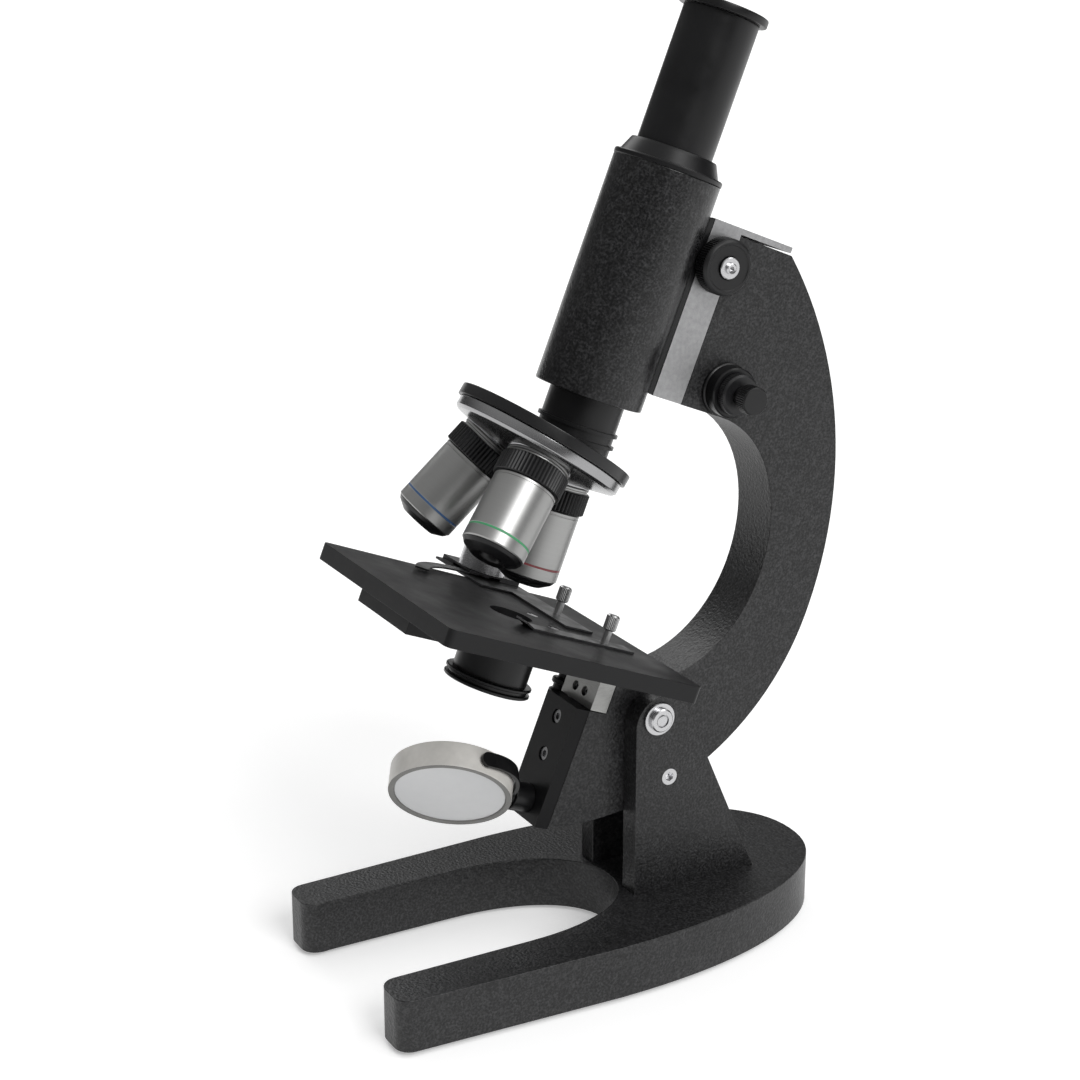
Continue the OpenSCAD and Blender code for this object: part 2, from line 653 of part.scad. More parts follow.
module lens_shape() {
    translate([0, 0, -nose_s]) {
        translate([0, 0, -1]) cylinder(r = 6.5, h = 3.5);
        translate([0, 0, -3.4]) difference() {
            cylinder(r1 = 6.4, r2 = barrel_r - 0.5, h = 3.35);
            translate([0, 0, -1]) cylinder(r = 2.6, h = 3);
        }
    }
}
module low_objective() { color([0.72, 0.72, 0.74]) lean_frame() lens_frame(0) barrel_shape(); }
module low_collar() { color([0.1, 0.1, 0.1]) lean_frame() lens_frame(0) collar_shape(); }
module low_lens() { color([0.07, 0.07, 0.07]) lean_frame() lens_frame(0) lens_shape(); }
module mid_objective() { color([0.72, 0.72, 0.74]) lean_frame() lens_frame(1) barrel_shape(); }
module mid_collar() { color([0.1, 0.1, 0.1]) lean_frame() lens_frame(1) collar_shape(); }
module mid_lens() { color([0.07, 0.07, 0.07]) lean_frame() lens_frame(1) lens_shape(); }
module high_objective() { color([0.72, 0.72, 0.74]) lean_frame() lens_frame(2) barrel_shape(); }
module high_collar() { color([0.1, 0.1, 0.1]) lean_frame() lens_frame(2) collar_shape(); }
module high_lens() { color([0.07, 0.07, 0.07]) lean_frame() lens_frame(2) lens_shape(); }

// ---- stage ----
module stage() {
    r = 2.5;
    color([0.14, 0.14, 0.15]) lean_frame() difference() {
        translate([0, 0, rib_u]) linear_extrude(stage_t) polygon(concat(
            arc([stage_hw - r, -stage_front + r], r, 270, 360, 6),
            arc([stage_hw - r, -stage_back - r], r, 0, 90, 6),
            arc([-stage_hw + r, -stage_back - r], r, 90, 180, 6),
            arc([-stage_hw + r, -stage_front + r], r, 180, 270, 6)));
        on_axis() translate([0, 0, rib_u - 1]) cylinder(r = stage_hole_r, h = stage_t + 2);
        for (x = [-pin_x, pin_x]) at(x, pin_f, rib_u - 1) cylinder(r = pin_r + fit, h = stage_t + 2);
        for (x = [-stage_screw_x, stage_screw_x]) at(x, stage_screw_f, rib_u) {
            translate([0, 0, -1]) cylinder(r = 1.5 + fit, h = stage_t + 2);
            translate([0, 0, stage_t - 1.6]) cylinder(r = 2.4, h = 2);
        }
    }
}
module stage_rib() {
    color([0.1, 0.1, 0.1]) lean_frame() difference() {
        block([-rib_hw, rib_hw], [stage_back + 3.4, rib_front], [rib_bot, rib_u - 0.02]);
        on_axis() translate([0, 0, rib_bot - 1]) cylinder(r = cond_r - 1 + fit, h = rib_t + 2);
        for (x = [-pin_x, pin_x]) at(x, pin_f, rib_u - 4) cylinder(r = pin_r + fit, h = 5);
        for (x = [-stage_screw_x, stage_screw_x]) at(x, stage_screw_f, rib_u - 4.2)
            cylinder(r = 1.5 + fit, h = 5);
        at(thumb_x, thumb_f, rib_bot - 1) cylinder(r = 1.5 + fit, h = 5);
    }
}
module stage_screws() {
    color([0.3, 0.3, 0.3]) lean_frame() for (x = [-stage_screw_x, stage_screw_x])
        at(x, stage_screw_f, rib_u - 4) difference() {
            union() {
                cylinder(r = 1.5, h = stage_t + 3);
                translate([0, 0, stage_t + 2.45]) cylinder(r = 2.3, h = 1.45);
            }
            translate([-3, -0.35, stage_t + 3.3]) cube([6, 0.7, 2]);
        }
}
module stage_bracket() {
    color([0.66, 0.66, 0.67]) lean_frame() difference() {
        block([-bar_hw, bar_hw], [bracket_f0, bracket_f0 + bracket_t], [bracket_u0, rib_bot - 0.02]);
        for (x = bracket_bolts_x) at(x, 0, bracket_bolt_u) {
            frod(1.5 + fit, bracket_f0 - 1, bracket_f0 + 20);
            frod(1.85, bracket_f0 + bracket_t - 3, bracket_f0 + 20);
        }
    }
}
// The same small screw holds the bracket and the bar to the arm.
module arm_screw(f0, f1, head_r) {
    difference() {
        union() {
            frod(1.5, f0, f1 + 0.5);
            frod(head_r, f1, f1 + 1.8);
        }
        translate([0, -f1 - 1, 0]) rotate([90, 0, 0]) cylinder(r = 0.55 * head_r, h = 3, $fn = 6);
    }
}
module arm_screws() {
    color([0.4, 0.4, 0.42]) lean_frame() {
        for (x = bracket_bolts_x) at(x, 0, bracket_bolt_u)
            arm_screw(bracket_f0 - 9, bracket_f0 + bracket_t - 2.9, 1.6);
        for (u = bar_bolt_us) at(0, 0, u) arm_screw(tail_front - 10, tail_front + bar_t - 2.4, 2.5);
    }
}
module stage_thumbscrew() {
    u0 = rib_bot - 17.4;
    color([0.12, 0.12, 0.12]) lean_frame() at(thumb_x, thumb_f, u0) {
        cylinder(r = thumb_r, h = 2.4);
        translate([0, 0, 2.3]) cylinder(r = thumb_r - 1.1, h = 2.3);
        translate([0, 0, 4.5]) cylinder(r = thumb_r, h = 2.5);
        translate([0, 0, 6.9]) cylinder(r = 2.6, h = rib_bot - 0.1 - u0 - 6.9);
        cylinder(r = 1.5, h = rib_bot + 3.5 - u0);
    }
}
module clip_pins() {
    color([0.45, 0.45, 0.46]) lean_frame() for (x = [-pin_x, pin_x]) at(x, pin_f, rib_u - 3.8) {
        cylinder(r = pin_r, h = stage_t + 12);
        translate([0, 0, stage_t + 9.8]) cylinder(r = 2.5, h = 5.8);
    }
}
module stage_clip() {
    w = 8;
    front = pin_f + 34;
    color([0.4, 0.4, 0.41]) lean_frame() difference() {
        union() {
            block([pin_x - w / 2, pin_x + w / 2], [pin_f - 11.4, front], [plate_u, plate_u + spring_t]);
            at(pin_x, front, plate_u + 0.1) rotate([-25, 0, 0])
                translate([-w / 2, -4, 0]) cube([w, 4.2, spring_t]);
        }
        at(pin_x, pin_f, plate_u - 1) cylinder(r = pin_r + fit, h = 4);
    }
}
// An angle plate lies on the stage and carries a raised end block; the finger turns in the block's slot.
module slide_holder() {
    slot_t = spring_t + 0.1;
    top = plate_u + holder_t + slot_t + 0.9;
    color([0.35, 0.35, 0.36]) lean_frame() difference() {
        union() {
            block([-39.5, 2.6], [29, 41.5], [plate_u, plate_u + holder_t]);
            block([-77, -39.4], [29, holder_f], [plate_u, plate_u + holder_t]);
            block([-77, -54.5], [29.5, holder_f - 3], [plate_u + holder_t - eps, top]);
        }
        block([-68, -50], [38.5, 70], [plate_u + holder_t, plate_u + holder_t + slot_t]);
        at(-pin_x, pin_f, plate_u - 1) cylinder(r = pin_r + fit, h = 4);
        at(holder_knob.x, holder_knob.y, plate_u - 1) cylinder(r = 1.5 + fit, h = 6);
    }
}
module holder_knob() {
    color([0.7, 0.7, 0.72]) lean_frame() at(holder_knob.x, holder_knob.y, plate_u + 0.1) {
        translate([0, 0, holder_t + spring_t + 1.1]) cylinder(r = 9.5, h = 9);
        cylinder(r = 1.5, h = holder_t + spring_t + 2);
    }
}
module holder_finger() {
    c = finger_c;
    color([0.5, 0.5, 0.51]) lean_frame() translate([0, 0, plate_u + holder_t + 0.05]) difference() {
        union() {
            linear_extrude(spring_t) polygon([for (q = concat(arc(c, finger_r + finger_w / 2, 115, 180, 16),
                [holder_knob + [-2.6, 0], holder_knob + [2.8, 0]],
                arc(c, finger_r - finger_w / 2, 180, 115, 16))) [q.x, -q.y]]);
            at(holder_knob.x, holder_knob.y, 0) cylinder(r = 4.6, h = spring_t);
        }
        at(holder_knob.x, holder_knob.y, -1) cylinder(r = 1.5, h = 4);
    }
}
module condenser_tube() {
    color([0.1, 0.1, 0.1]) lean_frame() on_axis() difference() {
        union() {
            translate([0, 0, rib_bot - cond_l]) cylinder(r = cond_r, h = cond_l - 0.05);
            translate([0, 0, rib_bot - 0.1]) cylinder(r = cond_r - 1, h = rib_t);
            for (d = [0, 2.6]) translate([0, 0, rib_bot - cond_l + d]) cylinder(r = cond_r + 2.3, h = 1.4);
        }
        translate([0, 0, rib_bot - cond_l - 1]) cylinder(r = cond_r - 3, h = cond_l + rib_t + 5);
    }
}
module condenser_lens() {
    color([0.8, 0.9, 1, 0.4]) lean_frame() on_axis() translate([0, 0, rib_bot + 1])
        cylinder(r = cond_r - 3 - fit, h = rib_t - 2);
}

// ---- tail and mirror ----
module tail_bar() {
    color([0.1, 0.1, 0.1]) lean_frame() difference() {
        block([-bar_hw, bar_hw], [tail_front + 0.02, tail_front + bar_t], [bar_u0, bar_u1]);
        for (u = bar_bolt_us) at(0, 0, u) {
            frod(1.5 + fit, tail_front - 1, tail_front + 20);
            frod(2.75, tail_front + bar_t - 2.5, tail_front + 20);
        }
        at(0, 0, -mirror_drop) frod(2.5 + fit, tail_front - 1, tail_front + 20);
    }
}
module mirror_stem() {
    f0 = tail_front + bar_t + 0.1;
    color([0.1, 0.1, 0.1]) lean_frame() at(0, 0, -mirror_drop) {
        frod(2.5, tail_front + 0.5, f0 + 1);
        frod(5.6, f0, stem_f1 - 0.1);
        frod(2, stem_f1 - 1, stem_f1 + 2.2);
    }
}
module mirror_fork() {
    w = 5.6;
    ri = mirror_r + 0.9;
    color([0.1, 0.1, 0.1]) lean_frame() fork_frame() difference() {
        union() {
            intersection() {
                translate([0, 0, -w / 2]) difference() {
                    cylinder(r = ri + 1.4, h = w);
                    translate([0, 0, -1]) cylinder(r = ri, h = w + 2);
                }
                translate([-60, 0, -20]) cube([120, 70, 40]);
            }
            for (s = [-1, 1]) translate([s * (ri + 0.7), 0, 0]) rotate([0, 90, 0])
                translate([0, 0, -0.7]) cylinder(r = w / 2, h = 1.4);
            for (s = [0, 1]) mirror([s, 0, 0]) xrod(1.5, mirror_r - 2, ri + 1);
            translate([0, mirror_r + 0.95, 0]) rotate([-90, 0, 0]) cylinder(r = 4.6, h = 2.2);
        }
        translate([0, mirror_r - 2, 0]) rotate([-90, 0, 0]) cylinder(r = 2 + fit, h = 9);
    }
}
module mirror_housing() {
    color([0.8, 0.79, 0.77]) lean_frame() mirror_frame() difference() {
        translate([0, 0, -mirror_t / 2]) cylinder(r = mirror_r, h = mirror_t);
        translate([0, 0, -mirror_t / 2 - 1]) cylinder(r = mirror_r - 2.3, h = 3.5);
        translate([0, 0, mirror_t / 2 - 2.5]) cylinder(r = mirror_r - 2.3, h = 3.5);
        for (s = [0, 1]) mirror([s, 0, 0]) xrod(1.5 + fit, mirror_r - 3, mirror_r + 3);
    }
}
module mirror_glass() {
    color([0.9, 0.92, 0.94]) lean_frame() mirror_frame() {
        translate([0, 0, -mirror_t / 2 + 0.5]) cylinder(r = mirror_r - 2.3 - fit, h = 1.95);
        translate([0, 0, mirror_t / 2 - 2.45]) cylinder(r = mirror_r - 2.3 - fit, h = 1.95);
    }
}

base();
rubber_feet();
pillar_left();
pillar_right();
pillar_screws();
tilt_bolt();
tilt_washers();
tilt_nut();
tilt_lock_screw();
arm();
carriage();
fine_bush();
fine_spindle();
fine_drum();
fine_knob();
pinion_shaft();
coarse_knob_left();
coarse_knob_right();
coarse_knob_screws();
tube_slide();
rack();
body_tube();
tube_cap();
eyepiece_tube();
eyepiece_barrel();
eyepiece_cap();
eye_lens();
field_lens();
field_stop();
nose_tube();
nosepiece_plate();
turret();
turret_screw();
low_objective();
low_collar();
low_lens();
mid_objective();
mid_collar();
mid_lens();
high_objective();
high_collar();
high_lens();
stage();
stage_rib();
stage_screws();
stage_bracket();
arm_screws();
stage_thumbscrew();
clip_pins();
stage_clip();
slide_holder();
holder_finger();
holder_knob();
condenser_tube();
condenser_lens();
tail_bar();
mirror_stem();
mirror_fork();
mirror_housing();
mirror_glass();
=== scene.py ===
import json
import math

import bmesh
import bpy
import numpy as np
from mathutils import Matrix, Vector

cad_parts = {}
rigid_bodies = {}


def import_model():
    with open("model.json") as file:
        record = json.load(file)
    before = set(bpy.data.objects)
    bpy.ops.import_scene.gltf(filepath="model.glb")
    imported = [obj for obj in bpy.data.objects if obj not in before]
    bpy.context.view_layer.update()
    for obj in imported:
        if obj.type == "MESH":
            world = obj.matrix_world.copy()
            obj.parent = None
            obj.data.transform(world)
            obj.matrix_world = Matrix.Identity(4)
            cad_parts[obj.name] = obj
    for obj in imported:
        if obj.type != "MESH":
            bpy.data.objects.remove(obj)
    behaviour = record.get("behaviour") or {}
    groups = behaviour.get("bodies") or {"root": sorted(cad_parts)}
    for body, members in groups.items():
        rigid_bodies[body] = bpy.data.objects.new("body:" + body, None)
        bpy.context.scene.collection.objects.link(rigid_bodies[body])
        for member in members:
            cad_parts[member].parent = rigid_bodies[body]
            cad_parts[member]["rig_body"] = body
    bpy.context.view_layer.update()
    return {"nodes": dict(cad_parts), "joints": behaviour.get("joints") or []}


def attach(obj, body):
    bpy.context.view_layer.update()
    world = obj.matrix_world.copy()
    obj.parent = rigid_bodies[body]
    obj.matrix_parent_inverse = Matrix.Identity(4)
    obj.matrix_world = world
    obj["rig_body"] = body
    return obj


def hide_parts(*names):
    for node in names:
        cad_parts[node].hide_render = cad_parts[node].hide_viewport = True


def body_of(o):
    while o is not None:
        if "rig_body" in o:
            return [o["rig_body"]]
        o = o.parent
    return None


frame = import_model()
nodes = frame["nodes"]

# ---- frames, in metres: the leaning arm's own frame, and the frames on it ----
MM = 0.001
joints = {j["name"]: j for j in frame["joints"]}
up = Vector(joints["coarse_focus"]["axis"]).normalized()
pivot = Vector(joints["arm_tilt"]["pos_m"])
across = Vector((1, 0, 0))
back = up.cross(across)
LEAN = Matrix.Translation(pivot) @ Matrix((across, back, up)).transposed().to_4x4()


def T(x, y, z):
    return Matrix.Translation(Vector((x, y, z)) * MM)


def rot(axis, degrees):
    return Matrix.Rotation(math.radians(degrees), 4, axis)


AXIS_F = 64.5
TUBE = LEAN @ T(0, -AXIS_F, 0)
NOSE = LEAN @ T(0, -AXIS_F, 141.3) @ rot("Z", 7.4) @ rot("X", -13.8)
LENS = [NOSE @ rot("Z", -120 * i) @ rot("X", 13.8) for i in range(3)]
MIRROR = LEAN @ T(0, -AXIS_F, -45.2) @ rot("Y", -42.3) @ rot("X", -11.3)
ALONG_X = rot("Y", 90)                       # turns an axis along Z to lie along +X
PINION = LEAN @ T(0, -38.1, 165.1) @ ALONG_X
FINE = LEAN @ T(0, -16.3, 123.5) @ ALONG_X
BOLT = Matrix.Translation(pivot) @ ALONG_X


# ---- materials ----
def new_material(name, **sockets):
    m = bpy.data.materials.new(name)
    m.use_nodes = True
    t = m.node_tree
    bsdf = t.nodes["Principled BSDF"]
    for key, value in sockets.items():
        bsdf.inputs[key.replace("_", " ")].default_value = value
    return m, t, bsdf


def add(t, kind, **props):
    n = t.nodes.new(kind)
    for key, value in props.items():
        if key in n.inputs:
            n.inputs[key].default_value = value
        else:
            setattr(n, key, value)
    return n


def noise(t, scale, detail=4, rough=0.6, vector=None):
    n = add(t, "ShaderNodeTexNoise", Scale=scale, Detail=detail, Roughness=rough)
    if vector is None:
        vector = add(t, "ShaderNodeTexCoord").outputs["Object"]
    t.links.new(vector, n.inputs["Vector"])
    return n.outputs["Fac"]


def ramp(t, fac, stops):
    r = add(t, "ShaderNodeValToRGB")
    els = r.color_ramp.elements
    while len(els) < len(stops):
        els.new(0.5)
    for e, (pos, v) in zip(els, stops):
        e.position = pos
        e.color = (v, v, v, 1) if isinstance(v, (int, float)) else (*v, 1)
    t.links.new(fac, r.inputs["Fac"])
    return r.outputs["Color"]


def remap(t, fac, lo, hi, a=0.3, b=0.7):
    n = add(t, "ShaderNodeMapRange")
    for key, value in (("From Min", a), ("From Max", b), ("To Min", lo), ("To Max", hi)):
        n.inputs[key].default_value = value
    t.links.new(fac, n.inputs["Value"])
    return n.outputs["Result"]


def bump(t, bsdf, height, strength, distance):
    b = add(t, "ShaderNodeBump", Strength=strength, Distance=distance)
    t.links.new(height, b.inputs["Height"])
    t.links.new(b.outputs["Normal"], bsdf.inputs["Normal"])
    return b


def mix_colour(t, fac, a, b):
    n = add(t, "ShaderNodeMix", data_type="RGBA")
    t.links.new(fac, n.inputs["Factor"])
    for value, socket in ((a, n.inputs["A"]), (b, n.inputs["B"])):
        if isinstance(value, (tuple, list)):
            socket.default_value = (*value, 1)
        else:
            t.links.new(value, socket)
    return n.outputs["Result"]


def crinkle(name, dark, light, grain=1.0, rough=0.38, mottle=0.65, relief=0.7):
    """Crinkle enamel: fine wrinkled grain, mottled grey on black."""
    m, t, bsdf = new_material(name, Roughness=rough, Specular_IOR_Level=0.42)
    obj = add(t, "ShaderNodeTexCoord").outputs["Object"]
    fine = noise(t, 1100 * grain, 3, 0.6, obj)
    patch = noise(t, 380 * grain, 3, 0.55, obj)
    cloud = noise(t, 24, 3, 0.5, obj)
    base = ramp(t, fine, [(0.42, dark), (0.64, light)])
    tone = ramp(t, patch, [(0.38, mottle), (0.62, 1.15)])
    mul = add(t, "ShaderNodeMix", data_type="RGBA", blend_type="MULTIPLY")
    mul.inputs["Factor"].default_value = 0.9
    t.links.new(base, mul.inputs["A"])
    t.links.new(tone, mul.inputs["B"])
    t.links.new(mul.outputs["Result"], bsdf.inputs["Base Color"])
    t.links.new(remap(t, cloud, rough - 0.05, rough + 0.07), bsdf.inputs["Roughness"])
    v = add(t, "ShaderNodeTexVoronoi", Scale=900 * grain, feature="SMOOTH_F1")
    t.links.new(obj, v.inputs["Vector"])
    add_h = add(t, "ShaderNodeMath", operation="ADD")
    t.links.new(fine, add_h.inputs[0])
    t.links.new(v.outputs["Distance"], add_h.inputs[1])
    bump(t, bsdf, add_h.outputs[0], relief, 0.0002)
    return m


def satin(name, colour, rough=0.38, grain=0.1, scale=2200, spec=0.5):
    """Smooth black finish with a faint orange peel and uneven sheen."""
    m, t, bsdf = new_material(name, Roughness=rough, Specular_IOR_Level=spec)
    obj = add(t, "ShaderNodeTexCoord").outputs["Object"]
    broad = noise(t, 60, 4, 0.6, obj)
    fine = noise(t, scale, 3, 0.6, obj)
    base = ramp(t, broad, [(0.3, tuple(c * 0.8 for c in colour)), (0.7, tuple(c * 1.15 for c in colour))])
    t.links.new(base, bsdf.inputs["Base Color"])
    t.links.new(remap(t, broad, rough - 0.05, rough + 0.07), bsdf.inputs["Roughness"])
    bump(t, bsdf, fine, grain, 0.0001)
    return m


def turned(name, colour, rough=0.28, lines=5200, aniso=0.55, depth=0.12):
    """Metal turned on a lathe about its own Z: fine rings round it, and a highlight that runs along it."""
    m, t, bsdf = new_material(name, Metallic=1, Anisotropic=aniso)
    obj = add(t, "ShaderNodeTexCoord").outputs["Object"]
    sep = add(t, "ShaderNodeSeparateXYZ")
    t.links.new(obj, sep.inputs[0])
    xx, yy, rr, r = (add(t, "ShaderNodeMath", operation=op) for op in ("MULTIPLY", "MULTIPLY", "ADD", "SQRT"))
    for n, s in ((xx, "X"), (yy, "Y")):
        t.links.new(sep.outputs[s], n.inputs[0])
        t.links.new(sep.outputs[s], n.inputs[1])
    t.links.new(xx.outputs[0], rr.inputs[0])
    t.links.new(yy.outputs[0], rr.inputs[1])
    t.links.new(rr.outputs[0], r.inputs[0])
    com = add(t, "ShaderNodeCombineXYZ")
    t.links.new(sep.outputs["Z"], com.inputs[0])
    t.links.new(r.outputs[0], com.inputs[1])
    ring = noise(t, lines, 3, 0.6, com.outputs[0])
    blotch = noise(t, 90, 3, 0.5, obj)
    base = ramp(t, ring, [(0.3, tuple(c * 0.92 for c in colour)), (0.7, colour)])
    t.links.new(mix_colour(t, remap(t, blotch, 0, 0.15), base, tuple(c * 0.75 for c in colour)), bsdf.inputs["Base Color"])
    t.links.new(remap(t, ring, rough - 0.02, rough + 0.03), bsdf.inputs["Roughness"])
    t.links.new(add(t, "ShaderNodeTangent", direction_type="RADIAL", axis="Z").outputs[0], bsdf.inputs["Tangent"])
    bump(t, bsdf, ring, depth, 0.00004)
    return m


def milled(name, colour, rough=0.4, along=(1, 1, 12), scale=500):
    """Flat metal with short straight tool marks."""
    m, t, bsdf = new_material(name, Metallic=1)
    obj = add(t, "ShaderNodeTexCoord").outputs["Object"]
    mp = add(t, "ShaderNodeMapping")
    mp.inputs["Scale"].default_value = along
    t.links.new(obj, mp.inputs["Vector"])
    line = noise(t, scale, 4, 0.65, mp.outputs[0])
    spot = noise(t, 140, 3, 0.5, obj)
    base = ramp(t, line, [(0.3, tuple(c * 0.75 for c in colour)), (0.7, colour)])
    t.links.new(base, bsdf.inputs["Base Color"])
    t.links.new(remap(t, spot, rough - 0.06, rough + 0.1), bsdf.inputs["Roughness"])
    bump(t, bsdf, line, 0.2, 0.00004)
    return m


def blasted(name, colour, rough=0.5):
    """Bead-blasted aluminium: even, very fine pits."""
    m, t, bsdf = new_material(name, Metallic=1)
    obj = add(t, "ShaderNodeTexCoord").outputs["Object"]
    pit = noise(t, 3200, 2, 0.5, obj)
    spot = noise(t, 600, 3, 0.6, obj)
    base = ramp(t, spot, [(0.3, tuple(c * 0.82 for c in colour)), (0.7, colour)])
    t.links.new(base, bsdf.inputs["Base Color"])
    t.links.new(remap(t, pit, rough - 0.06, rough + 0.1), bsdf.inputs["Roughness"])
    bump(t, bsdf, pit, 0.35, 0.00006)
    return m


def glassy(name, colour, rough=0.02, ior=1.52):
    m, t, bsdf = new_material(name, IOR=ior, Transmission_Weight=1.0)
    haze = noise(t, 300, 3)
    t.links.new(ramp(t, haze, [(0.3, tuple(c * 0.94 for c in colour)), (0.7, colour)]), bsdf.inputs["Base Color"])
    t.links.new(remap(t, haze, rough, rough + 0.02), bsdf.inputs["Roughness"])
    return m


def silvered(name):
    """Silvered glass, a little hazed."""
    m, t, bsdf = new_material(name, Metallic=0.55)
    haze = noise(t, 200, 4)
    t.links.new(ramp(t, haze, [(0.3, (0.60, 0.605, 0.61)), (0.7, (0.62, 0.625, 0.63))]), bsdf.inputs["Base Color"])
    t.links.new(remap(t, haze, 0.34, 0.36), bsdf.inputs["Roughness"])
    return m


ENAMEL = crinkle("crinkle_enamel", (0.004, 0.004, 0.0045), (0.030, 0.030, 0.031))
TUBE_ENAMEL = crinkle("tube_enamel", (0.002, 0.002, 0.0025), (0.030, 0.030, 0.031), 1.0, 0.30, 0.45, 0.35)
BLACK = satin("satin_black", (0.004, 0.004, 0.0045), 0.34, spec=0.35)
PLATE = satin("plate_black", (0.005, 0.005, 0.0055), 0.3, spec=0.4)
STAGE = satin("stage_black", (0.008, 0.008, 0.0085), 0.46, 0.2, 1500, 0.25)
BAR = satin("bar_black", (0.004, 0.004, 0.0045), 0.4, 0.1, 2200, 0.18)
KNURL = satin("black_knurl", (0.004, 0.004, 0.0045), 0.42, 0.2, spec=0.4)
DRUM = satin("drum_black", (0.012, 0.012, 0.013), 0.4, 0.2, spec=0.4)
BARREL = turned("brushed_barrel", (0.36, 0.36, 0.355), 0.36, 12000, 0.35, 0.03)
POLISHED = turned("polished_steel", (0.34, 0.34, 0.345), 0.22, 6000, 0.2, 0.02)
STUD = turned("stud_steel", (0.50, 0.50, 0.50), 0.3, 4000, 0.2, 0.04)
STEEL = turned("turned_steel", (0.55, 0.55, 0.56), 0.26, 4000, 0.3, 0.06)
DARK_STEEL = turned("dark_steel", (0.30, 0.30, 0.305), 0.3, 4000, 0.3, 0.06)
SPRING = milled("spring_steel", (0.085, 0.085, 0.087), 0.38, (12, 1, 1))
BLAST = blasted("blasted_aluminium", (0.40, 0.40, 0.405))
MILLED = milled("milled_metal", (0.38, 0.38, 0.37), 0.42)
HOUSING = satin("grey_enamel", (0.58, 0.565, 0.535), 0.42, 0.08, 900)
# The mirror ring's rim faces take the housing's grey enamel made much darker: painted shade on the rims, not a second
# paint
RIM_PAINTED_SHADE = satin("grey_rim_painted_shade", (0.17, 0.168, 0.16), 0.42, 0.08, 900)
GLASS = glassy("glass", (0.93, 0.96, 0.97))
SILVER = silvered("silvered_glass")
RUBBER = satin("rubber", (0.003, 0.003, 0.003), 0.7, 0.4, 1200, 0.06)
BAND = [satin("red_band", (0.20, 0.045, 0.05), 0.45), satin("green_band", (0.045, 0.27, 0.115), 0.45),
        satin("blue_band", (0.025, 0.075, 0.18), 0.45)]


# ---- mesh helpers ----
def even_normals(me, angle):
    """Corner normals weighted by face area, among the faces round a vertex that meet at less than angle."""
    n_loops = len(me.loops)
    normals, areas = np.empty(len(me.polygons) * 3), np.empty(len(me.polygons))
    vert, first, total = (np.empty(k, np.int64) for k in (n_loops, len(me.polygons), len(me.polygons)))
    me.polygons.foreach_get("normal", normals)
    me.polygons.foreach_get("area", areas)
    me.polygons.foreach_get("loop_start", first)
    me.polygons.foreach_get("loop_total", total)
    me.loops.foreach_get("vertex_index", vert)
    normals = normals.reshape(-1, 3)
    face = np.empty(n_loops, np.int64)
    for k in np.unique(total):
        faces = np.nonzero(total == k)[0]
        face[(first[faces][:, None] + np.arange(k))] = faces[:, None]
    order = np.argsort(vert, kind="stable")
    starts = np.nonzero(np.diff(vert[order], prepend=-1))[0]
    counts = np.diff(np.append(starts, n_loops))
    out = np.empty((n_loops, 3))
    limit = math.cos(math.radians(angle))
    for k in np.unique(counts):
        loops = order[(starts[counts == k][:, None] + np.arange(k))]
        n, a = normals[face[loops]], areas[face[loops]]
        near = np.einsum("vic,vjc->vij", n, n) > limit
        total_n = np.einsum("vij,vj,vjc->vic", near.astype(float), a + 1e-14, n)
        out[loops] = total_n / np.maximum(np.linalg.norm(total_n, axis=2, keepdims=True), 1e-20)
    me.polygons.foreach_set("use_smooth", [True] * len(me.polygons))
    me.normals_split_custom_set(out.tolist())


def finish_mesh(obj, body, mats, replaced=(), angle=32):
    me = obj.data
    slots = [p.material_index for p in me.polygons]
    me.materials.clear()
    for m in mats if isinstance(mats, (list, tuple)) else [mats]:
        me.materials.append(m)
    me.polygons.foreach_set("material_index", slots)
    even_normals(me, angle)
    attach(obj, body)
    if replaced:
        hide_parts(*([replaced] if isinstance(replaced, str) else replaced))
    return obj


def lathe(name, body, place, profile, mats, replaced=(), segs=96, knurl=None, closed=True, angle=32):
    """Turns profile, (radius, height) in mm, about Z. A point may carry a third value, its material index.
    knurl = (height from, to, ridges, depth) cuts straight ridges into the outer wall between two heights."""
    if knurl:
        segs = knurl[2] * 4
    bm = bmesh.new()
    rings = []
    for p in profile:
        ring = []
        if p[0] < 1e-6:
            v = bm.verts.new((0, 0, p[1] * MM))
            rings.append([v] * segs)
            continue
        for i in range(segs):
            r = p[0]
            if knurl and knurl[0] <= p[1] <= knurl[1] and len(p) > 3:
                r -= knurl[3] * (1, 0.25, 0, 0.25)[i % 4]
            a = 2 * math.pi * i / segs
            ring.append(bm.verts.new((r * MM * math.cos(a), r * MM * math.sin(a), p[1] * MM)))
        rings.append(ring)
    pairs = list(zip(rings, rings[1:] + (rings[:1] if closed else [])))
    for k, (a, b) in enumerate(pairs):
        if not closed and k == len(rings) - 1:
            break
        for i in range(segs):
            j = (i + 1) % segs
            loop = []
            for v in (a[i], a[j], b[j], b[i]):
                if v not in loop:
                    loop.append(v)
            if len(loop) > 2:
                f = bm.faces.new(loop)
                f.material_index = profile[k][2] if len(profile[k]) > 2 else 0
    bmesh.ops.recalc_face_normals(bm, faces=bm.faces)
    me = bpy.data.meshes.new(name)
    bm.to_mesh(me)
    bm.free()
    obj = bpy.data.objects.new(name, me)
    bpy.context.scene.collection.objects.link(obj)
    obj.matrix_world = place
    return finish_mesh(obj, body, mats, replaced, angle)


